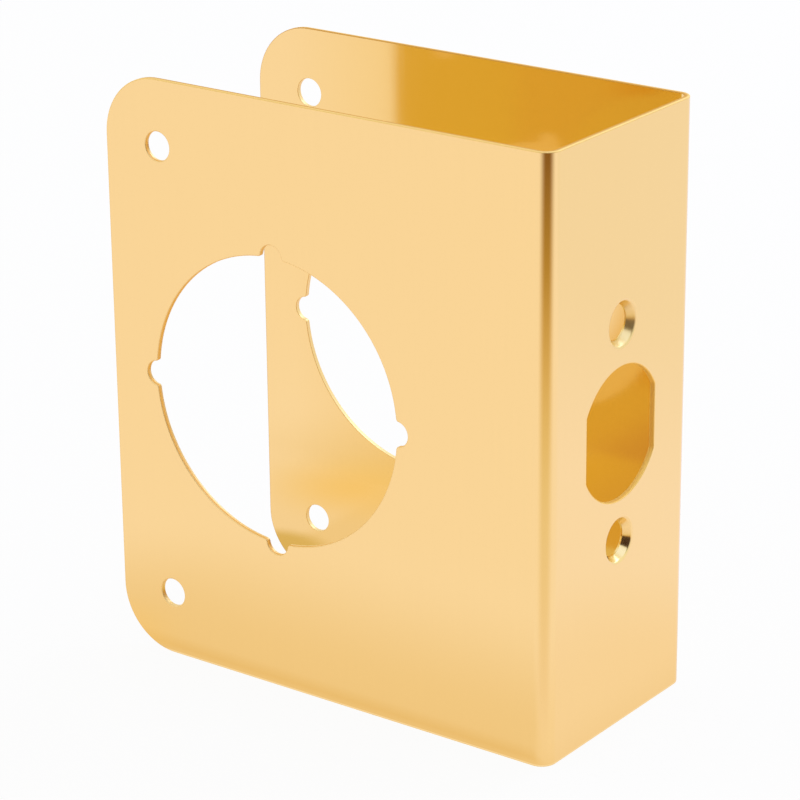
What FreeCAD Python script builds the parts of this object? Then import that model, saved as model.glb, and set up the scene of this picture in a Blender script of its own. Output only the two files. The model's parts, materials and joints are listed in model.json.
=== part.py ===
import FreeCAD, Part
import math
import os

from FreeCAD import Vector

# Door reinforcer plate: one brass sheet, folded twice into a U that slips over
# the edge of a door, round the holes for its lock. Sizes are in millimetres.
#
# X runs from the free edges to the edge plate, which covers the narrow edge of
# the door. Y runs across the thickness of the door and Z runs up. The origin is
# below the middle of the plate, level with its lower edge.

# Door and sheet
door_thickness = 44.45
sheet_thickness = 1.0
bend_inside_radius = 2.0

# Face plates, one on each face of the door
plate_height = 114.3
plate_depth = 98.4
free_corner_radius = 12.0

# Cross bore through both face plates, with a small notch on each of its sides.
# Its inset is measured from the free edges to its centre.
bore_diameter = 55.6
bore_inset = 38.1
notch_diameter = 4.8
notch_mouth_radius = 0.6

# Screw holes near the free corners of the face plates
face_screw_diameter = 5.6
face_screw_inset = 12.2
face_screw_spacing = 88.9

# Latch opening in the edge plate: a round hole with two upright flats
latch_diameter = 25.4
latch_width_at_flats = 22.2
latch_corner_radius = 0.8

# Screw holes above and below the latch opening, each pressed in as a dimple.
# The sheet turns in at the rim, runs down a cone and ends in a short straight
# land, level with the dimple's depth.
edge_screw_spacing = 41.28
dimple_mouth_diameter = 8.6
dimple_hole_diameter = 6.7
dimple_depth = 1.9
dimple_land = 0.4
dimple_rim_radius = 0.7

# Small bevel that takes the sharpness off every cut edge of the sheet
edge_bevel = 0.15

# Planes and centres that follow from the sizes above
inner_y = door_thickness / 2
outer_y = inner_y + sheet_thickness
free_x = -plate_depth / 2
edge_x = plate_depth / 2
bore_x = free_x + bore_inset
face_screw_x = free_x + face_screw_inset
lock_z = plate_height / 2

X_AXIS = Vector(1, 0, 0)
Y_AXIS = Vector(0, 1, 0)
Z_AXIS = Vector(0, 0, 1)

# A cutter starts and ends this far outside what it cuts
OVERRUN = 1.0
# Sizes closer than this count as equal
TOLERANCE = 0.001
# Two faces that turn by less than this at their common edge run on smoothly
SMOOTH_TURN = math.radians(10)


def line(start, end):
    return Part.LineSegment(start, end).toShape()


def quarter_arc(centre, radius, start):
    """Return the quarter circle that turns left from an angle in degrees."""
    points = []
    for angle in (start, start + 45, start + 90):
        turn = math.radians(angle)
        points.append(centre + Vector(radius * math.cos(turn), radius * math.sin(turn), 0))
    return Part.Arc(*points).toShape()


def skin(radius):
    """Return one side of the folded section: leg, bend, web, bend and leg."""
    bend_x = edge_x - sheet_thickness - bend_inside_radius
    bend_y = inner_y - bend_inside_radius
    web_x = bend_x + radius
    leg_y = bend_y + radius
    return [
        line(Vector(free_x, -leg_y, 0), Vector(bend_x, -leg_y, 0)),
        quarter_arc(Vector(bend_x, -bend_y, 0), radius, -90),
        line(Vector(web_x, -bend_y, 0), Vector(web_x, bend_y, 0)),
        quarter_arc(Vector(bend_x, bend_y, 0), radius, 0),
        line(Vector(bend_x, leg_y, 0), Vector(free_x, leg_y, 0)),
    ]


def folded_sheet():
    """Return the bare U, folded from one sheet of even thickness."""
    edges = skin(bend_inside_radius + sheet_thickness) + skin(bend_inside_radius)
    for side in (-1, 1):
        outer_end = Vector(free_x, side * outer_y, 0)
        inner_end = Vector(free_x, side * inner_y, 0)
        edges.append(line(outer_end, inner_end))
    section = Part.Wire(Part.__sortEdges__(edges))
    return Part.Face(section).extrude(Z_AXIS * plate_height)


def edges_along(shape, direction):
    """Return the straight edges of a shape that are parallel to a direction."""
    found = []
    for edge in shape.Edges:
        if isinstance(edge.Curve, Part.Line):
            if abs(edge.Curve.Direction.dot(direction)) > 1 - TOLERANCE:
                found.append(edge)
    return found


def is_sharp(shape, edge):
    """Tell whether the two faces at an edge meet in a corner."""
    middle = edge.valueAt((edge.FirstParameter + edge.LastParameter) / 2)
    normals = []
    for face in shape.ancestorsOfType(edge, Part.Face):
        u, v = face.Surface.parameter(middle)
        normals.append(face.normalAt(u, v))
    return len(normals) == 2 and normals[0].getAngle(normals[1]) > SMOOTH_TURN


def round_free_corners(sheet):
    """Round the corners of the face plates that lie away from the edge plate."""
    corners = []
    for edge in edges_along(sheet, Y_AXIS):
        if abs(edge.CenterOfMass.x - free_x) < TOLERANCE:
            corners.append(edge)
    return sheet.makeFillet(free_corner_radius, corners)


def through_faces(x, z, diameter):
    """Return a round cutter that passes through both face plates."""
    start = Vector(x, -outer_y - OVERRUN, z)
    length = 2 * (outer_y + OVERRUN)
    return Part.makeCylinder(diameter / 2, length, start, Y_AXIS)


def bore_cutter():
    """Return the cross bore with a notch centred on each side of its rim."""
    reach = bore_diameter / 2
    cutter = through_faces(bore_x, lock_z, bore_diameter)
    for step_x, step_z in ((reach, 0), (0, reach), (-reach, 0), (0, -reach)):
        notch = through_faces(bore_x + step_x, lock_z + step_z, notch_diameter)
        cutter = cutter.fuse(notch)
    cutter = cutter.removeSplitter()
    mouths = [edge for edge in edges_along(cutter, Y_AXIS) if is_sharp(cutter, edge)]
    return cutter.makeFillet(notch_mouth_radius, mouths)


def latch_cutter():
    """Return a bar with two round and two flat sides, set through the edge plate."""
    start = Vector(edge_x - sheet_thickness - OVERRUN, 0, lock_z)
    length = sheet_thickness + 2 * OVERRUN
    bar = Part.makeCylinder(latch_diameter / 2, length, start, X_AXIS)
    low = start - Vector(0, latch_width_at_flats / 2, latch_diameter / 2)
    flats = Part.makeBox(length, latch_width_at_flats, latch_diameter, low)
    cutter = bar.common(flats)
    corners = [edge for edge in edges_along(cutter, X_AXIS) if is_sharp(cutter, edge)]
    return cutter.makeFillet(latch_corner_radius, corners)


def bevel_cut_edges(sheet):
    """Take the sharpness off both sides of the sheet wherever it was cut."""
    sharp = [edge for edge in sheet.Edges if is_sharp(sheet, edge)]
    return sheet.makeChamfer(edge_bevel, sharp)


def turned(profile, z):
    """Turn points of (radius, depth below the edge plate) round an axis at height z."""
    points = [Vector(edge_x - depth, 0, z + radius) for radius, depth in profile]
    face = Part.Face(Part.makePolygon(points + points[:1]))
    return face.revolve(Vector(edge_x, 0, z), X_AXIS, 360)


def press_dimple(sheet, z):
    """Press one countersunk screw hole into the edge plate."""
    mouth = dimple_mouth_diameter / 2
    hole = dimple_hole_diameter / 2
    cone_depth = dimple_depth - dimple_land
    slope = (mouth - hole) / cone_depth
    # The sheet keeps its thickness, measured square to the cone
    back = mouth + sheet_thickness / math.cos(math.atan(slope))
    back_end = back - dimple_depth * slope
    bevel_depth = dimple_depth - edge_bevel
    shell = [
        (0, 0),
        (back, 0),
        (back_end + edge_bevel * slope, bevel_depth),
        (back_end - edge_bevel, dimple_depth),
        (0, dimple_depth),
    ]
    hollow = [
        (0, -OVERRUN),
        (mouth, -OVERRUN),
        (mouth, 0),
        (hole, cone_depth),
        (hole, bevel_depth),
        (hole + edge_bevel, dimple_depth),
        (hole + edge_bevel, dimple_depth + OVERRUN),
        (0, dimple_depth + OVERRUN),
    ]
    return sheet.fuse(turned(shell, z)).cut(turned(hollow, z))


def round_dimple_rims(sheet):
    """Round the sheet where the dimples turn in from its outside."""
    rims = []
    for edge in sheet.Edges:
        if isinstance(edge.Curve, Part.Circle):
            outside = abs(edge.Curve.Center.x - edge_x) < TOLERANCE
            mouth = abs(edge.Curve.Radius - dimple_mouth_diameter / 2) < TOLERANCE
            if outside and mouth:
                rims.append(edge)
    return sheet.makeFillet(dimple_rim_radius, rims)


def reinforcer_plate():
    """Return the finished plate, with its holes, bevels and dimples."""
    sheet = round_free_corners(folded_sheet())
    sheet = sheet.cut(bore_cutter())
    for side in (-1, 1):
        screw_z = lock_z + side * face_screw_spacing / 2
        sheet = sheet.cut(through_faces(face_screw_x, screw_z, face_screw_diameter))
    sheet = sheet.cut(latch_cutter())
    sheet = bevel_cut_edges(sheet)
    for side in (-1, 1):
        sheet = press_dimple(sheet, lock_z + side * edge_screw_spacing / 2)
    return round_dimple_rims(sheet.removeSplitter())


plate = reinforcer_plate()
os.makedirs("parts", exist_ok=True)
plate.exportStep("parts/reinforcer_plate.step")
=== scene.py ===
# %% [markdown]
# # A brass reinforcer plate for a door
# This plate is one sheet of brass, folded twice into a U. It slips over the edge of a door and
# covers the worn wood round the lock: the large bore takes the lock's body, the opening in the
# narrow edge plate takes the latch, and the small holes take screws. Everything on it comes from
# flat sheet work, which means holes punched, edges sheared, two bends and two pressed dimples.
# The lesson builds it in the same order: a flat blank first, and the bends last of all.

import json
import math

import bpy
import numpy as np
from mathutils import Matrix, Vector
from mathutils.bvhtree import BVHTree


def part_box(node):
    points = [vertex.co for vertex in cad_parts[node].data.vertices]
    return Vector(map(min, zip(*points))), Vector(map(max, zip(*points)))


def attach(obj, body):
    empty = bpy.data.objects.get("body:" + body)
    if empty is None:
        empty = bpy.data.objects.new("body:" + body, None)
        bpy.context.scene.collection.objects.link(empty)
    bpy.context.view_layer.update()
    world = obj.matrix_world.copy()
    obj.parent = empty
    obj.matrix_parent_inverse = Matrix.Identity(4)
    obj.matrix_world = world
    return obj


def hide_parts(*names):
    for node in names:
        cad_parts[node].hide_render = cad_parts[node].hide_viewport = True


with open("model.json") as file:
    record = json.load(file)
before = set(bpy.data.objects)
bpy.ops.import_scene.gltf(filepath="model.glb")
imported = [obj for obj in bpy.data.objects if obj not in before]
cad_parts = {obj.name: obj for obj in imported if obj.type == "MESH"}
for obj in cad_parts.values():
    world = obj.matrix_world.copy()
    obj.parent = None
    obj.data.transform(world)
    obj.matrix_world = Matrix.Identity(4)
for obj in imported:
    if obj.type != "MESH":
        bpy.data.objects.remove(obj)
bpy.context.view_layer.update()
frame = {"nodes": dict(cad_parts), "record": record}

# %% [markdown]
# ## The camera
# A camera comes first, because every choice of detail depends on what it sees. It could be aimed
# by eye in the viewport. Here it is set like a tripod, by the turn round the plate, the tilt down
# and the distance, so that each number means something. A long lens keeps the upright edges
# nearly parallel, as in a catalogue picture.

# %% Set the camera
PIXELS = 800
SENSOR = 36.0
FOCAL_PIXELS = 3239.0
CAMERA_TURN = math.radians(36.38)
CAMERA_TILT = math.radians(20.53)
CAMERA_LEAN = math.radians(-0.53)
CAMERA_DISTANCE = 0.6042
CAMERA_AIM = Vector((0.0008, -0.0005, 0.0533))


def add_camera():
    """Turn the camera round the upright axis, tilt it down, and move it back from its aim."""
    data = bpy.data.cameras.new("camera")
    data.sensor_width = SENSOR
    data.lens = FOCAL_PIXELS / PIXELS * SENSOR
    data.clip_start = 0.01
    camera = bpy.data.objects.new("camera", data)
    bpy.context.scene.collection.objects.link(camera)
    turn = Matrix.Rotation(CAMERA_TURN, 4, "Z")
    tilt = Matrix.Rotation(math.pi / 2 - CAMERA_TILT, 4, "X")
    lean = Matrix.Rotation(CAMERA_LEAN, 4, "Z")
    away = Matrix.Translation((0, 0, CAMERA_DISTANCE))
    camera.matrix_world = Matrix.Translation(CAMERA_AIM) @ turn @ tilt @ lean @ away
    bpy.context.scene.camera = camera
    print("lens:", round(data.lens, 1), "mm")


add_camera()

# %% [markdown]
# ## Measures
# The solid model already fixes the size of the plate, so this file reads its box and the places
# of its holes instead of repeating them. What neither of them tells, such as the small radii that
# a press leaves, is named here. Lengths are in millimetres, because sheet work is drawn that way,
# and the finished mesh is brought to metres at the end.

# %% Read the plate's measures
MM = 0.001
low, high = (np.round(np.array(corner) / MM, 3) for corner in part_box("reinforcer_plate"))
mounts = {mount["name"]: mount for mount in frame["record"]["mounts"]}


def place(name):
    """Return where a mount of the solid is, in millimetres."""
    return np.array(mounts[name]["pos_m"]) / MM


# The sheet
half_height = (high[2] - low[2]) / 2
sheet = high[1] - place("back_door_face_seat")[1]
BEND_INSIDE, FREE_CORNER = 2.0, 12.0

# The cross bore and its notches
bore_radius = mounts["cross_bore"]["dims"]["r_mm"]
NOTCH_RADIUS, NOTCH_MOUTH = 2.4, 0.6

# The plain screw holes of the face plates
screw_radius = mounts["front_face_screws"]["dims"]["hole_r_mm"]
screw_rise = mounts["front_face_screws"]["dims"]["spacing_y_mm"] / 2

# The latch opening, a circle with two flats
LATCH_RADIUS, LATCH_FLAT, LATCH_CORNER = 12.7, 11.1, 0.8

# The dimples of the edge plate, and their roundings at the mouth, the land and the back
dimple_rise = mounts["edge_screws"]["dims"]["spacing_y_mm"] / 2
dimple_hole = mounts["edge_screws"]["dims"]["hole_r_mm"]
DIMPLE_MOUTH, DIMPLE_DEPTH, DIMPLE_LAND = 4.3, 1.9, 0.4
DIMPLE_RIM, DIMPLE_KNEE, DIMPLE_BACK = 0.7, 0.15, 0.35

# The rounding of a cut edge on the outside and on the inside of the sheet
OUTER_EDGE, INNER_EDGE = 0.2, 0.12
print("sheet", sheet, "mm thick,", 2 * half_height, "mm high")

# %% [markdown]
# ## The fold
# A folded sheet could be drawn as a U-shaped section and pulled upwards, but then each hole has
# to be cut through faces that point different ways. It is simpler to think as the press shop
# does. Every point gets three numbers on the flat blank: s along the sheet from the middle of the
# edge plate, h up from the middle height, and n out from the middle of the thickness. One formula
# then bends the blank, so a hole is drawn flat and ends up in the right wall.

# %% Bend the blank
half_web = high[1] - sheet - BEND_INSIDE
bend_middle = BEND_INSIDE + sheet / 2
bend_run = bend_middle * math.pi / 2
bend_x = high[0] - sheet - BEND_INSIDE
half_blank = half_web + bend_run + bend_x - low[0]


def bend_angle(s):
    """The sheet turns evenly from 0 at the end of the flat web to a quarter turn after the bend."""
    return np.clip((np.abs(s) - half_web) / bend_middle, 0, math.pi / 2)


def fold(blank):
    """Bend blank points (s, h, n) into place.

    Up to the bend, x stays at the web and y grows with s. In the bend, both follow a circle whose
    radius is the bend's middle radius plus n. Past it, x falls back by what is left of s.
    """
    s, h, n = np.moveaxis(blank, -1, 0)
    run = np.abs(s)
    turn = bend_angle(s)
    radius = bend_middle + n
    x = bend_x + radius * np.cos(turn) - np.maximum(run - half_web - bend_run, 0)
    y = np.sign(s) * (np.minimum(run, half_web) + radius * np.sin(turn))
    return np.stack([x, y, h + half_height], axis=-1)


def fold_directions(blank, directions):
    """Turn directions on the blank with the bend at their points: along s, up, and out of it."""
    turn = bend_angle(blank[..., 0])
    side = np.where(blank[..., 0] < 0, -1.0, 1.0)
    s, h, n = np.moveaxis(directions, -1, 0)
    x = n * np.cos(turn) - s * side * np.sin(turn)
    y = n * side * np.sin(turn) + s * np.cos(turn)
    return np.stack([x, y, h], axis=-1)


print("flat blank:", round(2 * half_blank, 2), "mm long before it is folded")

# %% [markdown]
# ## Outlines
# Each hole is a chain of arcs and straight runs. A circle could be given as so many corners, but
# the small notches of the bore need many points and its long arcs need few. So every outline is
# first drawn very finely, and then points are picked from it by how far it runs and how much it
# turns. Beside each point goes the direction into the metal, which later tells the rim where to
# curl and the light how to glance off it.

# %% Draw outlines
FINE = 200
STRAIGHT_STEP = 1.2
TURN_STEP = math.radians(8)


def unit(angle):
    """Directions on the blank at angles in degrees."""
    return np.stack([np.cos(np.radians(angle)), np.sin(np.radians(angle))], axis=-1)


def arc(centre, radius, start, end, metal_inside=False):
    """Points on an arc between two angles in degrees, with the directions into the metal.

    The metal lies outside the circle, as round a hole, unless it is said to be inside.
    """
    out = unit(np.linspace(start, end, FINE))
    return centre + radius * out, -out if metal_inside else out


def straight(start, end, inward):
    """The two ends of a straight run, with the direction into the metal."""
    return np.array([start, end], float), np.array([inward, inward], float)


def join(*runs):
    """Put runs end to end, each kind of their values by itself."""
    return [np.concatenate(parts) for parts in zip(*runs)]


def pick(run, count):
    """Pick points along a run so that the same length or the same turn lies between any two."""
    path, inward = run
    length = np.linalg.norm(np.diff(path, axis=0), axis=1) / STRAIGHT_STEP
    turn = np.linalg.norm(np.diff(inward, axis=0), axis=1) / TURN_STEP
    travelled = np.concatenate([[0], np.cumsum(length + turn)])
    stops = np.linspace(0, travelled[-1], count)
    return [
        np.stack([np.interp(stops, travelled, column) for column in values.T], axis=-1)
        for values in run
    ]


print("each arc is drawn with", FINE, "points")

# %% [markdown]
# The cross bore has a small round notch on each of its four sides, and the corners where a notch
# meets the bore are rounded too. The place of each rounding follows from the triangle between
# three centres: that of the bore, of the notch and of the rounding.

# %% Outline the bore, the latch opening and the corner
rounding_reach = bore_radius + NOTCH_MOUTH
swing = math.degrees(
    math.acos(
        (rounding_reach**2 + bore_radius**2 - (NOTCH_RADIUS + NOTCH_MOUTH) ** 2)
        / (2 * rounding_reach * bore_radius)
    )
)
lean = math.degrees(
    math.asin(rounding_reach * math.sin(math.radians(swing)) / (NOTCH_RADIUS + NOTCH_MOUTH))
)


def bore_quarter(start):
    """A quarter of the bore's outline, from the middle of one notch to the middle of the next."""
    end = start + 90
    return join(
        arc(bore_radius * unit(start), NOTCH_RADIUS, start, start + lean),
        arc(rounding_reach * unit(start + swing), NOTCH_MOUTH,
            start + 180 + lean, start + 180 + swing, metal_inside=True),
        arc(0, bore_radius, start + swing, end - swing),
        arc(rounding_reach * unit(end - swing), NOTCH_MOUTH,
            end + 180 - swing, end + 180 - lean, metal_inside=True),
        arc(bore_radius * unit(end), NOTCH_RADIUS, end - lean, end),
    )


def latch_quarter():
    """A quarter of the latch opening: up the flat, round its corner, and along the circle."""
    across = LATCH_FLAT - LATCH_CORNER
    up = math.sqrt((LATCH_RADIUS - LATCH_CORNER) ** 2 - across**2)
    slant = math.degrees(math.atan2(up, across))
    return join(
        straight((LATCH_FLAT, 0), (LATCH_FLAT, up), (1, 0)),
        arc((across, up), LATCH_CORNER, 0, slant),
        arc(0, LATCH_RADIUS, slant, 90),
    )


def free_corner(top_start, side_end):
    """The blank's outline from its top edge round a free corner and down its free edge."""
    turn_s = half_blank - FREE_CORNER
    turn_h = half_height - FREE_CORNER
    return join(
        straight((top_start, half_height), (turn_s, half_height), (0, -1)),
        arc((turn_s, turn_h), FREE_CORNER, 90, 0, metal_inside=True),
        straight((half_blank, turn_h), (half_blank, side_end), (-1, 0)),
    )


print("notch roundings:", round(swing, 2), "degrees round the bore")

# %% [markdown]
# ## Edges and dimples
# A cut edge of real sheet is never a knife-sharp corner: the punch rolls the edge over on its own
# side and leaves a smaller radius on the other. That tiny rounding is what draws the bright line
# round every hole. It could come from a Bevel modifier, but here one profile is carried along
# every outline, which also gives exact normals. A dimple is the same idea with a longer profile,
# carried once round the screw's axis: over the rim, down the cone, through the hole and back.

# %% Carry a profile along an outline
ARC_STEPS = 6


def rounded(corners, radii):
    """Round the inner corners of a broken line, and give its points and outward directions.

    At each corner an arc touches both runs: it starts its radius times the tangent of half the
    turn before the corner. The line runs with the open air on its right, so the outward
    direction is the heading turned right.
    """
    corners = np.array(corners, float)
    runs = np.diff(corners, axis=0)
    heading = np.arctan2(runs[:, 1], runs[:, 0])
    turns = (np.diff(heading) + math.pi) % (2 * math.pi) - math.pi
    points, outward = [], []
    for corner, start, turn, radius in zip(corners[1:-1], heading, turns, radii):
        angle = start + np.linspace(0, 1, ARC_STEPS) * turn
        left = np.stack([-np.sin(angle), np.cos(angle)], axis=-1)
        before = radius * math.tan(abs(turn) / 2)
        first = corner - before * np.array([math.cos(start), math.sin(start)])
        bulge = radius * np.sign(turn)
        points.append(first + bulge * (left[0] - left))
        outward.append(-left)
    return np.concatenate(points), np.concatenate(outward)


def carry(profile, path, inward):
    """Carry a profile along an outline.

    A profile point (q, n) lands q into the metal from the outline, at height n over the middle of
    the sheet. Its outward direction is turned the same way.
    """
    points, outward = profile
    blank = np.zeros((len(points), len(path), 3))
    directions = np.zeros_like(blank)
    blank[..., :2] = path + points[:, None, :1] * inward
    blank[..., 2] = points[:, 1:]
    directions[..., :2] = outward[:, None, :1] * inward
    directions[..., 2] = outward[:, 1:]
    return blank, directions


FAR = 10.0
top, base = sheet / 2, -sheet / 2
cut_edge = rounded(
    [(FAR, top), (0, top), (0, base), (FAR, base)],
    [OUTER_EDGE, INNER_EDGE],
)
cone_depth = DIMPLE_DEPTH - DIMPLE_LAND
cone_slope = (DIMPLE_MOUTH - dimple_hole) / cone_depth
back_mouth = DIMPLE_MOUTH + sheet * math.hypot(1, cone_slope)
dimple = rounded(
    [
        (FAR, top),
        (DIMPLE_MOUTH, top),
        (dimple_hole, top - cone_depth),
        (dimple_hole, top - DIMPLE_DEPTH),
        (back_mouth - DIMPLE_DEPTH * cone_slope, top - DIMPLE_DEPTH),
        (back_mouth - sheet * cone_slope, base),
        (FAR, base),
    ],
    [DIMPLE_RIM, DIMPLE_KNEE, INNER_EDGE, INNER_EDGE, DIMPLE_BACK],
)
print("cut edge profile:", len(cut_edge[0]), "points; dimple profile:", len(dimple[0]), "points")

# %% [markdown]
# ## The skins
# Between the rims lie the flat skins, one outside and one inside. A polygon with holes would do
# in a still picture, but long thin triangles shade badly and bend worse. So the blank is divided
# into panels. A plain panel is a grid of rows and columns. A panel with a hole is ruled: each
# point of the hole's rim is joined to a point of the panel's border by a straight run. Panels that
# meet share the points of their border, so the plate closes without a seam. Only a quarter of the
# blank is drawn, since the plate is the same to the left and right and above and below its middle.

# %% Lay out one quarter of the blank
bore_s = half_web + bend_run + bend_x - place("cross_bore")[0]
bore_panel = half_blank - bore_s
screw_s = half_web + bend_run + bend_x - place("front_face_screws")[0]
dimple_low = (LATCH_RADIUS + dimple_rise - dimple[0][-1, 0]) / 2
dimple_high = 2 * dimple_rise - dimple_low

# How many steps each stretch is divided into
WEB_STEPS, BEND_STEPS, NECK_STEPS, BORE_STEPS, SCREW_STEPS = 14, 12, 14, 58, 19
LATCH_ROWS, DIMPLE_ROWS, BORE_ROWS, TOP_ROWS = 11, 10, 29, 16
CORNER_STEPS = 30
# How many steps a ruled panel has from its hole to its border
LATCH_RULED, DIMPLE_RULED, BORE_RULED, SCREW_RULED = 7, 6, 8, 6

web_s = np.linspace(0, half_web, WEB_STEPS + 1)
bend_s = half_web + np.linspace(0, bend_run, BEND_STEPS + 1)
neck_s = np.linspace(half_web + bend_run, bore_s - bore_panel, NECK_STEPS + 1)
panel_s = np.linspace(bore_s - bore_panel, half_blank, BORE_STEPS + 1)
latch_h = np.linspace(0, dimple_low, LATCH_ROWS + 1)
dimple_h = np.linspace(dimple_low, dimple_high, DIMPLE_ROWS + 1)
beside_h = np.linspace(dimple_high, bore_panel, BORE_ROWS - LATCH_ROWS - DIMPLE_ROWS + 1)
low_h = np.concatenate([latch_h, dimple_h[1:], beside_h[1:]])


def side(s_values, h_values):
    """Points of a straight border, where one of the two is a single value."""
    return np.stack(np.broadcast_arrays(s_values, h_values), axis=-1).astype(float)


def grid(s_values, h_values):
    """A plain panel: every s with every h."""
    return np.stack(np.meshgrid(s_values, h_values), axis=-1)


def ruled(near, far, steps):
    """A panel between two lines: each pair of points is joined by a straight run."""
    share = np.linspace(0, 1, steps + 1)[:, None, None]
    return (1 - share) * near + share * far


# The rims of the quarter
top_s = np.concatenate([web_s, bend_s[1:], neck_s[1:], panel_s[1:-SCREW_STEPS]])
corner_run = pick(free_corner(top_s[-1], bore_panel), CORNER_STEPS + 1)
screw_border = np.concatenate([
    corner_run[0][::-1],
    side(top_s[-1], np.linspace(half_height, bore_panel, TOP_ROWS + 1))[1:],
    side(panel_s[-SCREW_STEPS - 1:], bore_panel)[1:],
])
screw_centre = np.array([screw_s, screw_rise])
screw_out = screw_border - screw_centre
screw_out /= np.linalg.norm(screw_out, axis=1, keepdims=True)
bore_run = pick(join(bore_quarter(0), bore_quarter(90)), BORE_STEPS + 2 * BORE_ROWS + 1)
bore_run[0] = bore_run[0] + (bore_s, 0)
latch_run = pick(latch_quarter(), WEB_STEPS + LATCH_ROWS + 1)
dimple_out = unit(np.linspace(-90, 90, 2 * WEB_STEPS + DIMPLE_ROWS + 1))
dimple_centre = np.array([0, dimple_rise]) + 0 * dimple_out

rims = {
    "top": carry(cut_edge, side(top_s, half_height), side(0 * top_s, -1)),
    "corner": carry(cut_edge, *corner_run),
    "free": carry(cut_edge, side(half_blank, low_h), side(-1, 0 * low_h)),
    "screw": carry(cut_edge, screw_centre + screw_radius * screw_out, screw_out),
    "bore": carry(cut_edge, *bore_run),
    "latch": carry(cut_edge, *latch_run),
    "dimple": carry(dimple, dimple_centre, dimple_out),
}
print("rims of a quarter:", {name: rim[0].shape[:2] for name, rim in rims.items()})


# %% [markdown]
# The same panels make the outer and the inner skin. Only the rounding of the cut edge differs, so
# each skin starts from the first or the last row of every rim.

# %% Lay the skins between the rims
def skin(layer):
    """All panels of one skin: layer 0 is the outside of the sheet, and layer -1 the inside."""
    edge = {name: rim[0][layer, :, :2] for name, rim in rims.items()}
    rows_h = np.concatenate([low_h, np.linspace(bore_panel, edge["top"][0, 1], TOP_ROWS + 1)[1:]])
    high_h = rows_h[BORE_ROWS:]
    inner_s = np.append(panel_s[:-1], edge["free"][0, 0])
    split = BORE_STEPS - SCREW_STEPS
    latch_border = np.concatenate([side(half_web, latch_h), side(web_s[::-1], dimple_low)[1:]])
    dimple_border = np.concatenate([
        side(web_s, dimple_low),
        side(half_web, dimple_h)[1:],
        side(web_s[::-1], dimple_high)[1:],
    ])
    bore_border = np.concatenate([
        side(inner_s[-1], low_h),
        side(inner_s[::-1], bore_panel)[1:],
        side(inner_s[0], low_h[::-1])[1:],
    ])
    corner_border = np.concatenate([
        edge["corner"][::-1],
        side(inner_s[split], high_h[::-1])[1:],
        side(inner_s[split:], bore_panel)[1:],
    ])
    return [
        ruled(edge["latch"], latch_border, LATCH_RULED),
        ruled(edge["dimple"], dimple_border, DIMPLE_RULED),
        grid(web_s, rows_h[LATCH_ROWS + DIMPLE_ROWS:]),
        grid(bend_s, rows_h),
        grid(neck_s, rows_h),
        ruled(edge["bore"], bore_border, BORE_RULED),
        grid(inner_s[:split + 1], high_h),
        ruled(edge["screw"], corner_border, SCREW_RULED),
    ]


def with_thickness(panel, n):
    """Set a panel of a skin at its height over the middle of the sheet, facing away from it."""
    blank = np.concatenate([panel, np.full(panel.shape[:2] + (1,), n)], axis=-1)
    return blank, np.zeros_like(blank) + (0, 0, np.sign(n))


outer_skin = [with_thickness(panel, top) for panel in skin(0)]
inner_skin = [with_thickness(panel, base) for panel in skin(-1)]
print("panels:", len(outer_skin), "outside and", len(inner_skin), "inside")

# %% [markdown]
# ## From panels to one mesh
# Every panel is either polished skin or one of three kinds of cut wall, which differ in metal. So
# the panels are stacked into one list of points and one of faces with the number of its metal.

# %% Stack the panels
FACE_METAL, PUNCHED_METAL, LATCH_METAL, SHORN_METAL = range(4)
CUT_METALS = {"screw": PUNCHED_METAL, "bore": PUNCHED_METAL, "latch": LATCH_METAL,
              "top": SHORN_METAL, "corner": SHORN_METAL, "free": SHORN_METAL}


def faces_of(shape, first):
    """The four corners of every cell of a grid, counted on from a first number."""
    number = first + np.arange(shape[0] * shape[1]).reshape(shape)
    cells = [number[:-1, :-1], number[:-1, 1:], number[1:, 1:], number[1:, :-1]]
    return np.stack(cells, axis=-1).reshape(-1, 4)


def gather(panels):
    """Stack panels (points, directions, metal) into one list of points and one of faces."""
    stacks, first = [], 0
    for (points, outward), metal in panels:
        cells = faces_of(points.shape[:2], first)
        first += points.shape[0] * points.shape[1]
        stacks.append([points.reshape(-1, 3), outward.reshape(-1, 3), cells,
                       np.full(len(cells), metal)])
    return join(*stacks)


cut = [(rims[name], metal) for name, metal in CUT_METALS.items()]
smooth = [(panel, FACE_METAL) for panel in outer_skin + inner_skin + [rims["dimple"]]]
quarter = gather(cut + smooth)
print("a quarter has", len(quarter[0]), "points and", len(quarter[2]), "faces")

# %% [markdown]
# The quarter is copied to the other three by changing the signs of s and h. A Mirror modifier could
# do the same to the folded plate, but this way the numbers on the blank are copied too. Points that
# lie together are welded, and every face is turned to look the way its own points say.

# %% Copy, weld and fold
# Points in one cell of this size are welded, and the shift keeps round numbers off its sides
WELD, WELD_SHIFT = 0.001, 0.3


def all_quarters(blank, directions, faces, metals):
    """Copy the quarter to all four sides of the blank's middle."""
    signs = np.array([(1, 1, 1), (-1, 1, 1), (1, -1, 1), (-1, -1, 1)])[:, None]
    starts = len(blank) * np.arange(4)[:, None, None]
    return (
        (blank * signs).reshape(-1, 3),
        (directions * signs).reshape(-1, 3),
        (faces + starts).reshape(-1, 4),
        np.tile(metals, 4),
    )


def weld(blank, directions, faces):
    """Give all points that lie in the same small cell one number."""
    cell = np.floor(blank / WELD + WELD_SHIFT)
    _, keep, number = np.unique(cell, axis=0, return_index=True, return_inverse=True)
    return blank[keep], directions[keep], number.reshape(-1)[faces]


def face_outwards(points, normals, faces):
    """Turn round each face whose own normal points against those of its corners."""
    a, b, c, d = (points[faces[:, corner]] for corner in range(4))
    own = np.cross(c - a, d - b)
    wrong = (own * normals[faces].sum(axis=1)).sum(axis=1) < 0
    return np.where(wrong[:, None], faces[:, ::-1], faces)


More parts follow.
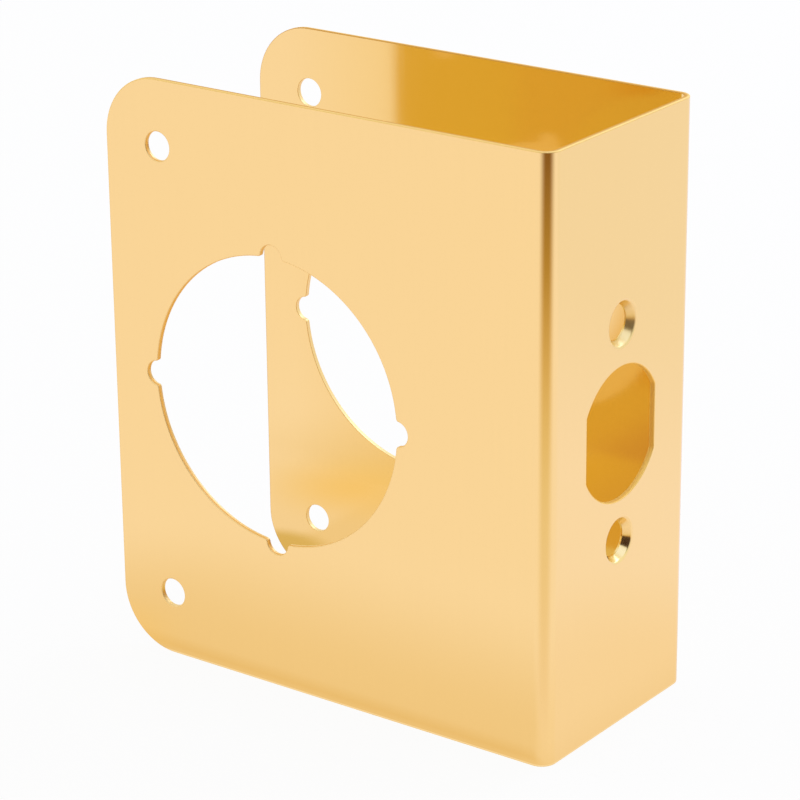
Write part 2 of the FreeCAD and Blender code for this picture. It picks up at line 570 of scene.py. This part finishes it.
blank, directions, faces, metals = all_quarters(*quarter)
blank, directions, faces = weld(blank, directions, faces)
points = fold(blank)
normals = fold_directions(blank, directions)
faces = face_outwards(points, normals, faces)
print("welded sheet:", len(points), "points and", len(faces), "faces")

# %% [markdown]
# Custom normals from the formulas make the bends and the small roundings shade as truly round,
# while the flats stay flat, which smooth shading alone would spoil. The mesh also keeps what its
# metals ask for: the flat blank as a UV map, the depth of each point in the sheet, and how scuffed
# it is, because pressing a dimple scuffs its cone.

# %% Build the plate
# How scuffed the cones of the lower and the upper dimple are
LOWER_SCUFF, UPPER_SCUFF = 0.45, 1.0


def ease(value):
    """Run from 0 to 1 with a gentle start and end: three squares less two cubes."""
    value = np.clip(value, 0, 1)
    return value * value * (3 - 2 * value)


def store(mesh, name, values):
    """Keep one number at every point of a mesh, for its material to read."""
    attribute = mesh.attributes.new(name, "FLOAT", "POINT")
    attribute.data.foreach_set("value", np.asarray(values, np.float32).ravel())


def build_plate():
    """Make the folded plate's mesh.

    Its UV map is s and h over the blank's length. Its depth runs from 0 inside to 1 outside, and
    its scuff falls to 0 over the rounding of a dimple's mouth.
    """
    mesh = bpy.data.meshes.new("reinforcer_sheet")
    mesh.from_pydata((points * MM).tolist(), [], faces.tolist())
    mesh.polygons.foreach_set("material_index", metals.astype(np.int32))
    mesh.shade_smooth()
    mesh.normals_split_custom_set_from_vertices(normals.tolist())
    corner = np.zeros(len(mesh.loops), np.int32)
    mesh.loops.foreach_get("vertex_index", corner)
    flat = blank[corner, :2] / (2 * half_blank) + 0.5
    mesh.uv_layers.new(name="blank").uv.foreach_set("vector", flat.astype(np.float32).ravel())
    store(mesh, "depth", blank[:, 2] / sheet + 0.5)
    from_screw = np.hypot(blank[:, 0], np.abs(blank[:, 1]) - dimple_rise)
    pressed = 1 - ease((from_screw - DIMPLE_MOUTH) / DIMPLE_RIM)
    store(mesh, "scuff", pressed * np.where(blank[:, 1] > 0, UPPER_SCUFF, LOWER_SCUFF))
    plate = bpy.data.objects.new("reinforcer_sheet", mesh)
    bpy.context.scene.collection.objects.link(plate)
    return plate


plate = build_plate()
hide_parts("reinforcer_plate")
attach(plate, "root")
print("plate:", len(plate.data.vertices), "points,", len(plate.data.polygons), "faces")

# %% [markdown]
# ## Does it fit the solid?
# A new mesh that stands for a solid has to be the same shape. Three quick measures tell: edges
# that don't have a face on both sides, the volume, and how far every seventh point lies from the
# solid's skin.

# %% Measure the plate against the solid
SAMPLE = 7


def measure(plate, solid):
    """Print open edges, the volume, and the largest distance from the solid."""
    corners = np.array([face.vertices[:] for face in plate.data.polygons])
    edges = np.stack([corners, np.roll(corners, -1, axis=1)], axis=-1).reshape(-1, 2)
    used = np.unique(np.sort(edges, axis=1), axis=0, return_counts=True)[1]
    points = np.array([v.co for v in plate.data.vertices])
    a, b, c, d = (points[corners[:, i]] for i in range(4))
    volume = sum((p * np.cross(q, r)).sum() for p, q, r in ((a, b, c), (a, c, d))) / 6
    polygons = [face.vertices[:] for face in solid.data.polygons]
    skin_tree = BVHTree.FromPolygons([v.co for v in solid.data.vertices], polygons)
    away = [skin_tree.find_nearest(point)[3] for point in points[::SAMPLE].tolist()]
    print("edges without two faces:", int((used != 2).sum()))
    print("volume:", round(volume / MM**3, 1), "mm3")
    print("largest distance from the solid:", round(max(away) / MM, 3), "mm")


measure(plate, frame["nodes"]["reinforcer_plate"])

# %% [markdown]
# ## Brass
# Polished brass is a metal, so all its colour is in what it mirrors. It is set fully metallic, and
# its base colour tints every reflection, which is why the inside of the U, where light bounces
# several times, turns to deep gold; painted reflections further down set how deep. The sheet was
# polished up and down on a belt. That left very fine upright scratches, which blur reflections
# sideways only. They could be an image, but a noise that is stretched on the flat blank follows the
# bends and stays sharp at any size.
# Cut walls have scratches too, so one node group makes both kinds. A few helpers come first,
# because wiring nodes fills many lines.

# %% Make helpers for nodes
def add_node(tree, kind, **values):
    """Add a node and set its inputs by name."""
    node = tree.nodes.new(kind)
    for name, value in values.items():
        node.inputs[name.replace("_", " ")].default_value = value
    return node


def give(tree, socket, value):
    """Link an output to an input, or set the input if the value is a plain one."""
    if isinstance(value, bpy.types.NodeSocket):
        tree.links.new(value, socket)
    else:
        socket.default_value = value


def calculate(tree, operation, *values):
    """Add a maths node and return its output. Each value is another output or a plain number."""
    node = tree.nodes.new("ShaderNodeMath")
    node.operation = operation
    for socket, value in zip(node.inputs, values):
        give(tree, socket, value)
    return node.outputs[0]


def mix_colours(tree, share, *ends):
    """Mix two colours by a share. Each colour is another output or a plain colour."""
    mix = tree.nodes.new("ShaderNodeMix")
    mix.data_type = "RGBA"
    tree.links.new(share, mix.inputs["Factor"])
    for socket, end in zip([item for item in mix.inputs if item.type == "RGBA"], ends):
        give(tree, socket, end)
    return [item for item in mix.outputs if item.type == "RGBA"][0]


def read(tree, name):
    """Read what is stored at every point of the mesh under a name."""
    attribute = tree.nodes.new("ShaderNodeAttribute")
    attribute.attribute_name = name
    return attribute.outputs


print("five helpers: add, give, calculate, mix and read")

# %% [markdown]
# The group takes the flat blank, the number of scratches each way and how deep they are, and gives
# out a colour, a roughness and a height. A slow haze, as wiping leaves it, lies over the scratches.

# %% Build the grain
TARNISH = (0.32, 0.17, 0.05, 1.0)
HAZE_COUNT, NOISE_MIDDLE = 7.0, 0.5


def add_noise(tree, blank, across, along, detail):
    """Add a noise whose waves are so many per width and per height of the flat blank."""
    counts = tree.nodes.new("ShaderNodeCombineXYZ")
    give(tree, counts.inputs["X"], across)
    give(tree, counts.inputs["Y"], along)
    stretched = tree.nodes.new("ShaderNodeVectorMath")
    stretched.operation = "MULTIPLY"
    tree.links.new(blank, stretched.inputs[0])
    tree.links.new(counts.outputs[0], stretched.inputs[1])
    noise = add_node(tree, "ShaderNodeTexNoise", Scale=1.0, Detail=detail, Roughness=0.6)
    tree.links.new(stretched.outputs[0], noise.inputs["Vector"])
    return noise.outputs["Fac"]


def grain_group():
    """Scratches and a slow haze on the flat blank.

    The roughness is the given one, plus the spread times how far the scratches and the haze are
    from their middle. The colour loses a small share where a scratch is deep.
    """
    group = bpy.data.node_groups.new("metal_grain", "ShaderNodeTree")
    for name, kind in (("Blank", "Vector"), ("Color", "Color"), ("Roughness", "Float"),
                       ("Across", "Float"), ("Along", "Float"), ("Spread", "Float"),
                       ("Shade", "Float")):
        group.interface.new_socket(name, in_out="INPUT", socket_type="NodeSocket" + kind)
    for name, kind in (("Color", "Color"), ("Roughness", "Float"), ("Height", "Float")):
        group.interface.new_socket(name, in_out="OUTPUT", socket_type="NodeSocket" + kind)
    given = group.nodes.new("NodeGroupInput").outputs
    result = group.nodes.new("NodeGroupOutput").inputs
    scratches = add_noise(group, given["Blank"], given["Across"], given["Along"], detail=3.0)
    haze = add_noise(group, given["Blank"], HAZE_COUNT, HAZE_COUNT, detail=2.0)
    both = calculate(group, "ADD", calculate(group, "SUBTRACT", scratches, NOISE_MIDDLE),
                     calculate(group, "SUBTRACT", haze, NOISE_MIDDLE))
    change = calculate(group, "MULTIPLY", both, given["Spread"])
    group.links.new(calculate(group, "ADD", given["Roughness"], change), result["Roughness"])
    depth = calculate(group, "SUBTRACT", 1.0, scratches)
    share = calculate(group, "MULTIPLY", depth, given["Shade"])
    group.links.new(mix_colours(group, share, given["Color"], TARNISH), result["Color"])
    group.links.new(scratches, result["Height"])
    return group


GRAIN = grain_group()
print("grain group:", [item.name for item in GRAIN.interface.items_tree])

# %% [markdown]
# The skins get long scratches that blur reflections sideways, through the tangent of the flat
# blank, and a thin clear lacquer, which real plates have against tarnish. The scuffed cones of the
# dimples are rougher. One function makes all four metals of the plate, from different numbers.

# %% Mix the polished brass
BRASS = (0.935, 0.725, 0.315, 1.0)
POLISHED_ROUGHNESS, SCUFFED_ROUGHNESS = 0.085, 0.34


def brass(name, across, along, spread, shade, relief):
    """Make a brass with grain: so many scratches across and along the blank, and so deep."""
    material = bpy.data.materials.new(name)
    material.use_nodes = True
    tree = material.node_tree
    shader = tree.nodes["Principled BSDF"]
    shader.inputs["Metallic"].default_value = 1.0
    blank = tree.nodes.new("ShaderNodeUVMap")
    blank.uv_map = "blank"
    grain = tree.nodes.new("ShaderNodeGroup")
    grain.node_tree = GRAIN
    counts = {"Across": across, "Along": along, "Spread": spread, "Shade": shade}
    for socket, value in counts.items():
        grain.inputs[socket].default_value = value
    bump = add_node(tree, "ShaderNodeBump", Strength=1.0, Distance=relief)
    tree.links.new(blank.outputs["UV"], grain.inputs["Blank"])
    tree.links.new(grain.outputs["Color"], shader.inputs["Base Color"])
    tree.links.new(grain.outputs["Roughness"], shader.inputs["Roughness"])
    tree.links.new(grain.outputs["Height"], bump.inputs["Height"])
    tree.links.new(bump.outputs["Normal"], shader.inputs["Normal"])
    plate.data.materials.append(material)
    return tree, shader, grain.inputs


def run_share(tree, name, start, end):
    """Run from 0 to 1 where what the mesh keeps under a name runs between two numbers."""
    share = add_node(tree, "ShaderNodeMapRange", From_Min=start, From_Max=end)
    tree.links.new(read(tree, name)["Fac"], share.inputs["Value"])
    return share.outputs["Result"]


def set_roughness(tree, grain, share, start, end):
    """Let the roughness run between two ends by a share."""
    change = calculate(tree, "MULTIPLY", share, end - start)
    tree.links.new(calculate(tree, "ADD", change, start), grain["Roughness"])


tree, shader, grain = brass(
    "polished_brass", across=500, along=9, spread=0.05, shade=0.03, relief=0.0000015)
grain["Color"].default_value = BRASS
scuffed = run_share(tree, "scuff", 0.0, 1.0)
set_roughness(tree, grain, scuffed, POLISHED_ROUGHNESS, SCUFFED_ROUGHNESS)
shader.inputs["Anisotropic"].default_value = 0.7
shader.inputs["Coat Weight"].default_value = 0.25
shader.inputs["Coat Roughness"].default_value = 0.08
tangent = tree.nodes.new("ShaderNodeTangent")
tangent.direction_type = "UV_MAP"
tangent.uv_map = "blank"
tree.links.new(tangent.outputs["Tangent"], shader.inputs["Tangent"])
print("skin:", plate.data.materials[FACE_METAL].name)

# %% [markdown]
# A punched wall has two bands. Where the punch slid in, it is smooth, and farther in, the sheet
# tore. Each point of the mesh knows its depth in the sheet, so one ramp tells the bands apart. The
# outer edges were shorn off a long strip; their inner band is a darker brass, which is painted
# shade. The latch walls are a brighter, yellower brass, which is painted light. So each kind of
# wall has its own colour and roughness.

# %% Mix the metals of the cut walls
PUNCHED_BRASS = (0.94, 0.71, 0.31, 1.0)
# Painted light: the latch walls get a brighter, yellower brass than the other cut walls
PAINTED_LIGHT_LATCH_BRASS = (0.98, 0.69, 0.20, 1.0)
SHORN_BRASS = (0.94, 0.68, 0.24, 1.0)
# Painted shade: the inner band of the outer edges is a darker brass
SHADED_EDGE_BRASS = (0.74, 0.42, 0.08, 1.0)

# From the inner to the outer side of the sheet: where the bands meet, and how they look
for name, band, roughness, colours in (
    ("punched_brass", (0.40, 0.52), (0.45, 0.50), (PUNCHED_BRASS, PUNCHED_BRASS)),
    ("latch_brass_painted_light", (0.40, 0.52), (0.72, 0.56), (PAINTED_LIGHT_LATCH_BRASS, PAINTED_LIGHT_LATCH_BRASS)),
    ("shorn_brass_painted_shade", (0.35, 0.75), (0.72, 0.56), (SHADED_EDGE_BRASS, SHORN_BRASS)),
):
    tree, _, grain = brass(name, across=420, along=420, spread=0.2, shade=0.12, relief=0.00001)
    outward = run_share(tree, "depth", *band)
    set_roughness(tree, grain, outward, *roughness)
    tree.links.new(mix_colours(tree, outward, *colours), grain["Color"])
print("metals:", [material.name for material in plate.data.materials])

# %% [markdown]
# ## The studio
# Nothing shapes polished metal but its surroundings. The flat faces tip what the camera sees down
# to the floor, so the floor must be white where they look. It could be lit until it is white, but
# then everything else would be too bright. Instead, the floor glows for the camera and in
# reflections, through Light Path, and only a small part of it still answers to light and shadow.

# %% Lay the floor
FLOOR_HALF, FLOOR_WHITE, FLOOR_GLOW = 3.0, 0.95, 0.93


def seen_directly(tree):
    """Return 1 for camera, mirrored and refracted rays, and 0 for the rest."""
    path = tree.nodes.new("ShaderNodeLightPath").outputs
    mirrored = calculate(tree, "MAXIMUM", path["Is Glossy Ray"], path["Is Transmission Ray"])
    return calculate(tree, "MAXIMUM", path["Is Camera Ray"], mirrored)


def mix_shaders(tree, share, first, second, output):
    """Show the first shader where the share is 0, and the second where it is 1."""
    mix = tree.nodes.new("ShaderNodeMixShader")
    tree.links.new(share, mix.inputs["Fac"])
    tree.links.new(first.outputs[0], mix.inputs[1])
    tree.links.new(second.outputs[0], mix.inputs[2])
    tree.links.new(mix.outputs[0], tree.nodes[output].inputs["Surface"])


def floor_material():
    """White paper: mostly an even glow where it is seen, and for the rest a matt white."""
    material = bpy.data.materials.new("white_paper")
    material.use_nodes = True
    tree = material.node_tree
    paper = tree.nodes["Principled BSDF"]
    paper.inputs["Base Color"].default_value = (FLOOR_WHITE, FLOOR_WHITE, FLOOR_WHITE, 1)
    paper.inputs["Roughness"].default_value = 1.0
    paper.inputs["Specular IOR Level"].default_value = 0.0
    glow = add_node(tree, "ShaderNodeEmission", Color=(1, 1, 1, 1), Strength=1.0)
    share = calculate(tree, "MULTIPLY", seen_directly(tree), FLOOR_GLOW)
    mix_shaders(tree, share, paper, glow, "Material Output")
    return material


def add_stage(name, points, faces, material):
    """Add a piece of the studio, which isn't part of the plate."""
    mesh = bpy.data.meshes.new(name)
    mesh.from_pydata(np.asarray(points).tolist(), [], np.asarray(faces).tolist())
    mesh.materials.append(material)
    piece = bpy.data.objects.new(name, mesh)
    bpy.context.scene.collection.objects.link(piece)
    return piece


floor_corners = FLOOR_HALF * np.array([(-1, -1, 0), (1, -1, 0), (1, 1, 0), (-1, 1, 0)])
add_stage("floor", floor_corners, [(0, 1, 2, 3)], floor_material())
print("floor:", 2 * FLOOR_HALF, "m square")

# %% [markdown]
# ## Cards that paint reflections
# Reflections here are painted with cards that stay out of the picture. The dark line down the bend
# is a painted reflection: a dark brown sheet on the floor beyond the white paper, which rises
# behind the camera. Inside the U, the gold is so deep because a painted gold reflection glows
# there. Each card is a glowing sheet that only reflections see. Every point of it has a tint, and a
# cover that fades to nothing at its sides, so no painted reflection has a hard edge. Light that
# bounces three times between perfect mirrors would turn orange. The haze on a real sheet keeps it
# gold, so a card paints a deep tint for such light. A card for the inside alone also says how many
# bounces it waits for.

# %% Make the cards that paint reflections
MANY_BOUNCES = 2.5
PAINTED_BOUNCE_GOLD = (0.88, 0.86, 0.71)
# Cards on the floor lie so far above one another
LIFT = 0.0002


def painted_card_material():
    """A painted reflection that glows in its tint as far as its cover goes, and is clear for the
    rest.

    After more than two bounces it has its deep tint. Up to its least bounces it is all clear.
    """
    material = bpy.data.materials.new("painted_reflection_card")
    material.use_nodes = True
    tree = material.node_tree
    tree.nodes.remove(tree.nodes["Principled BSDF"])
    bounces = tree.nodes.new("ShaderNodeLightPath").outputs["Ray Depth"]
    many = calculate(tree, "GREATER_THAN", bounces, MANY_BOUNCES)
    tint = mix_colours(tree, many, read(tree, "tint")["Color"], read(tree, "deep")["Color"])
    enough = calculate(tree, "GREATER_THAN", bounces, read(tree, "least")["Fac"])
    cover = calculate(tree, "MULTIPLY", read(tree, "cover")["Fac"], enough)
    clear = tree.nodes.new("ShaderNodeBsdfTransparent")
    paper = tree.nodes.new("ShaderNodeEmission")
    tree.links.new(tint, paper.inputs["Color"])
    mix_shaders(tree, cover, clear, paper, "Material Output")
    return material


def add_painted_card(name, x, y, z, cover, tint, deep=PAINTED_BOUNCE_GOLD, least=0):
    """Add a card of painted reflection from a grid of places with their cover, tints and bounces.
    """
    points = np.stack(np.broadcast_arrays(x, y, z), axis=-1)
    faces = faces_of(points.shape[:2], 0)
    card = add_stage(name, points.reshape(-1, 3), faces, PAINTED_CARD)
    for attribute, value in (("cover", cover), ("least", least)):
        store(card.data, attribute, value + 0 * points[..., 0])
    for attribute, colour in (("tint", tint), ("deep", deep)):
        colours = np.ones(points.shape[:2] + (4,), np.float32)
        colours[..., :3] = colour
        stored = card.data.attributes.new(attribute, "FLOAT_COLOR", "POINT")
        stored.data.foreach_set("color", colours.ravel())
    card.visible_camera = False
    card.visible_diffuse = False
    card.visible_shadow = False
    print(name, "has", len(faces), "faces")


def fade_in(values, start, width):
    """Rise gently from 0 at the start to 1 a width farther on, or backwards if it is negative."""
    return ease((values - start) / width)


def fade(values, start, end, rise, fall):
    """Stay at 1 between a start and an end, with a gentle slope of its own width inside each."""
    return fade_in(values, start, rise) * fade_in(values, end, -fall)


def blend(share, start, end):
    """Mix two tints by a share at every point."""
    return np.array(start) + share[..., None] * (np.array(end) - np.array(start))


def fan(centre, away, azimuth):
    """Places in a fan: x adds distance times sine, and y takes off distance times cosine."""
    turn = np.radians(azimuth)
    return centre[0] + away * np.sin(turn), centre[1] - away * np.cos(turn)


PAINTED_CARD = painted_card_material()
print("card paper:", len(PAINTED_CARD.node_tree.nodes), "nodes")

# %% [markdown]
# A painted warm reflection lies all over the floor, because brass that mirrors pure white looks too
# green. Its tint is cooler right behind the plate and deeper farther off.

# %% Lay the painted warm reflection
FRONT, BEHIND, FAR_BEHIND = (1.03, 0.92, 0.965), (1.03, 0.935, 1.05), (0.985, 0.90, 0.95)
across, along = np.meshgrid([-FLOOR_HALF, -0.1, 0.1, 0.2, FLOOR_HALF], [-FLOOR_HALF, FLOOR_HALF])
add_painted_card("painted_warm_reflection", along, across, LIFT, 1.0, [FRONT, FRONT, BEHIND, FAR_BEHIND, FAR_BEHIND])

# %% [markdown]
# Round the plate's foot, a painted reflection stands for the plate's own glow on the paper, and the
# foot mirrors it. It is weaker before the mouth of the U, paler past the edge plate, and deepest
# right beside the front plate, where it is painted shade.

# %% Paint the glow round the foot of the plate
FOOT_GLOW, FOOT_GAIN = 0.06, 1.15
MOUTH_LOSS = 0.5
FOOT_TINT, PAST_TINT = (0.95, 0.79, 0.66), (1.01, 0.87, 0.83)
BESIDE_RUN, BESIDE_SHADE = 0.007, (0.93, 0.86, 0.68)
box_low, box_high = low * MM, high * MM
along, across = np.meshgrid(
    np.linspace(box_low[0] - FOOT_GLOW, box_high[0] + FOOT_GLOW, 56),
    np.linspace(box_low[1] - FOOT_GLOW, box_high[1] + FOOT_GLOW, 44),
)
away = np.hypot(along - np.clip(along, box_low[0], box_high[0]),
                across - np.clip(across, box_low[1], box_high[1]))
mouth = fade_in(along, box_low[0], -0.004) * fade_in(across, box_low[1] - 0.01, 0.01)
past = fade_in(along, box_high[0] - 0.01, 0.02)
beside = fade_in(across, box_low[1], -0.002) * fade_in(along, box_high[0], -0.004)
add_painted_card("painted_foot_glow", along, across, 2 * LIFT,
         ease(FOOT_GAIN * (1 - away / FOOT_GLOW)) * (1 - MOUTH_LOSS * mouth),
         blend(past, FOOT_TINT, PAST_TINT)
         * blend(beside * fade_in(away, BESIDE_RUN, -BESIDE_RUN), (1, 1, 1), BESIDE_SHADE))

# %% [markdown]
# A painted dark reflection spreads like a fan from the foot of the front bend. Its tint falls along
# the floor, and then it turns up and stands behind the camera as a painted dark room. It paints the
# dark line down the bend.

# %% Lay the painted dark reflection
DARK_REACH, DARK_EDGE, DARK_RISE = 0.004, 0.75, 0.75
DARK_FAN = (-14, 104)
DARK_STOPS = [0.03, 0.12, 0.17, 0.22, 0.28, 0.40, 0.75]
DARK_TINTS = np.array([
    (0.97, 0.82, 0.77), (0.90, 0.75, 0.57), (0.83, 0.64, 0.38), (0.71, 0.49, 0.22),
    (0.51, 0.31, 0.08), (0.24, 0.11, 0.035), (0.05, 0.02, 0.01),
])
run = np.linspace(0, DARK_EDGE - DARK_REACH + DARK_RISE, 60)[:, None]
away = np.minimum(DARK_REACH + run, DARK_EDGE)
azimuth = np.linspace(*DARK_FAN, 48)[None, :]
tints = [np.interp(away + 0 * azimuth, DARK_STOPS, part) for part in DARK_TINTS.T]
add_painted_card("painted_dark_reflection", *fan((box_high[0], box_low[1]), away, azimuth),
         3 * LIFT + np.maximum(DARK_REACH + run - DARK_EDGE, 0),
         fade(azimuth, *DARK_FAN, 48, 48) * fade(run, 0, run[-1], 0.03, 0.1),
         np.stack(tints, axis=-1))

# %% [markdown]
# A painted highlight hangs overhead like a cool soft box, from the top of the dark reflection's far
# side to the lamp; it glows, but is no lamp. The top edges and the lower walls of the holes look up
# at it, and turn from gold to cream.

# %% Hang the painted overhead highlight
HIGHLIGHT_ALONG, HIGHLIGHT_ACROSS, HIGHLIGHT_HEIGHT = (-0.05, 0.70), (-0.65, 0.30), 0.77
HIGHLIGHT_TINT = (1.06, 1.17, 1.6)
along, across = np.meshgrid(np.linspace(*HIGHLIGHT_ALONG, 16), np.linspace(*HIGHLIGHT_ACROSS, 20))
add_painted_card("painted_overhead_highlight", along, across, HIGHLIGHT_HEIGHT,
         fade(along, *HIGHLIGHT_ALONG, 0.1, 0.1) * fade(across, *HIGHLIGHT_ACROSS, 0.05, 0.1), HIGHLIGHT_TINT)

# %% [markdown]
# After two bounces, the inside of the U looks out past its free edges. A painted gold reflection
# lies there, deeper in tint on the side of the back plate. It waits for the second bounce.

# %% Lay the painted gold reflection
GOLD, DEEPER_GOLD = (0.83, 0.67, 0.24), (0.765, 0.575, 0.21)
GOLD_FAN, GOLD_TURN, GOLD_REACH = (-178, -95), -150, 0.6
SECOND_BOUNCE = 1.5
away = np.linspace(0.02, GOLD_REACH, 30)[:, None]
azimuth = np.linspace(*GOLD_FAN, 30)[None, :]
add_painted_card("painted_gold_reflection", *fan((box_low[0], 0), away, azimuth), 3 * LIFT,
         fade(azimuth, *GOLD_FAN, 10, 10) * fade(away, 0, GOLD_REACH, 0.06, 0.1),
         blend(fade_in(azimuth + 0 * away, GOLD_TURN, -10), GOLD, DEEPER_GOLD),
         least=SECOND_BOUNCE)

# %% [markdown]
# Between the walls, a painted gold reflection glows as they do, and deepens towards the edge plate.

# %% Paint the reflection inside the U
INNER_START = -0.040
INNER_TINTS = (0.85, 0.65, 0.22), (0.79, 0.58, 0.23)
INNER_DEEPS = (0.93, 0.92, 0.72), (0.77, 0.65, 0.67)
wall = box_high[1] - sheet * MM
along, across = np.meshgrid(
    np.linspace(box_low[0], box_high[0] - sheet * MM, 60), np.linspace(-wall, wall, 24))
add_painted_card("painted_inner_glow", along, across, 4 * LIFT, fade_in(along, INNER_START, 0.015),
         blend(fade_in(along, -0.024, 0.016), *INNER_TINTS),
         blend(fade_in(along, INNER_START, 0.024), *INNER_DEEPS))

# %% [markdown]
# Two oval spots of painted reflection lie before the mouth of the U. The walls mirror them near
# their feet.

# %% Lay the painted spots
def add_spot(name, centre, radii, soft, tint):
    """Add an oval patch of painted reflection that fades towards its rim, over a share of its
    radius.
    """
    share = np.linspace(0, 1, 12)[:, None]
    azimuth = np.radians(np.linspace(0, 360, 32))[None, :]
    add_painted_card(name, centre[0] + radii[0] * share * np.sin(azimuth),
             centre[1] - radii[1] * share * np.cos(azimuth), 5 * LIFT,
             ease((1 - share) / soft), tint)


add_spot("painted_front_spot", (-0.058, -0.018), radii=(0.026, 0.022), soft=1.0, tint=(1.0, 0.77, 0.46))
add_spot("painted_back_spot", (-0.051, 0.017), radii=(0.014, 0.0105), soft=0.5, tint=(0.77, 0.60, 0.31))

# %% [markdown]
# The inside of the back plate mirrors the front plate with its holes. White holes would be harsh
# there, as no real sheet is a perfect mirror. So veils of painted gold reflection hang in the holes
# of the front plate, and one more fades out beyond its free edge.

# %% Hang the veils of painted reflection
VEIL_GOLD, EDGE_GOLD = (0.86, 0.56, 0.20), (0.95, 0.72, 0.32)
EDGE_REACH, EDGE_COVER = 0.028, 0.36
middle_y = box_low[1] + sheet * MM / 2


def add_veil(name, centre, radius, clear):
    """Add a round veil of painted gold reflection in a hole of the front plate, clear in its
    middle.
    """
    away = radius * np.linspace(0, 1, 16)[:, None]
    azimuth = np.radians(np.linspace(0, 360, 48))[None, :]
    cover = fade_in(away, clear, 0.008) if clear else 1.0
    add_painted_card(name, centre[0] + away * np.cos(azimuth), middle_y,
             centre[2] + away * np.sin(azimuth), cover, VEIL_GOLD)


upper_screw = place("front_face_screws") + (0, 0, screw_rise)
add_veil("painted_bore_veil", place("cross_bore") * MM, (bore_radius + NOTCH_RADIUS) * MM, clear=0.014)
add_veil("painted_screw_veil", upper_screw * MM, screw_radius * MM, clear=0)
away = np.linspace(0.0003, EDGE_REACH, 12)[:, None]
add_painted_card("painted_edge_veil", box_low[0] - away, middle_y, np.array([[0.001, box_high[2]]]),
         EDGE_COVER * (1 - away / EDGE_REACH), EDGE_GOLD)

# %% [markdown]
# ## Lamp and sky
# A soft lamp stands where the lower sides of the dimples look, behind the plate and above it. It is
# tall, because the cones bend its reflection upright, and narrow, so that the rounded edges show it
# only as a hair. It is a cool white, so that brass, which takes blue away, shows it as cream.

# %% Stand the lamp
LAMP_STAND, LAMP_AIM = Vector((0.08, 0.75, 0.74)), Vector((0, 0, 0.06))
LAMP_WIDTH, LAMP_HEIGHT, LAMP_POWER = 0.45, 0.95, 3.2
DAYLIGHT = (0.47, 0.57, 1.0)

light = bpy.data.lights.new("soft_lamp", "AREA")
light.shape = "RECTANGLE"
light.size, light.size_y = LAMP_WIDTH, LAMP_HEIGHT
light.energy = LAMP_POWER
light.color = DAYLIGHT
lamp = bpy.data.objects.new("soft_lamp", light)
lamp.location = LAMP_STAND
lamp.rotation_euler = (LAMP_AIM - LAMP_STAND).to_track_quat("-Z", "Y").to_euler()
lamp.visible_camera = False
bpy.context.scene.collection.objects.link(lamp)
glow = LAMP_POWER / (LAMP_WIDTH * LAMP_HEIGHT * math.pi)
print("soft_lamp is", round(glow, 2), "times as bright as white paper")

# %% [markdown]
# The sky is white where it is seen, and a little dimmer as a light. The view transform is Standard,
# so that a colour renders as it is written.

# %% Set the sky
SKY = 0.75

world = bpy.data.worlds.new("white_sky")
world.use_nodes = True
tree = world.node_tree
sky = tree.nodes["Background"]
sky.inputs["Color"].default_value = (1, 1, 1, 1)
sky.inputs["Strength"].default_value = SKY
white = add_node(tree, "ShaderNodeBackground", Color=(1, 1, 1, 1), Strength=1.0)
mix_shaders(tree, seen_directly(tree), sky, white, "World Output")
bpy.context.scene.world = world
bpy.context.scene.view_settings.view_transform = "Standard"
print("sky:", SKY, "as a light")
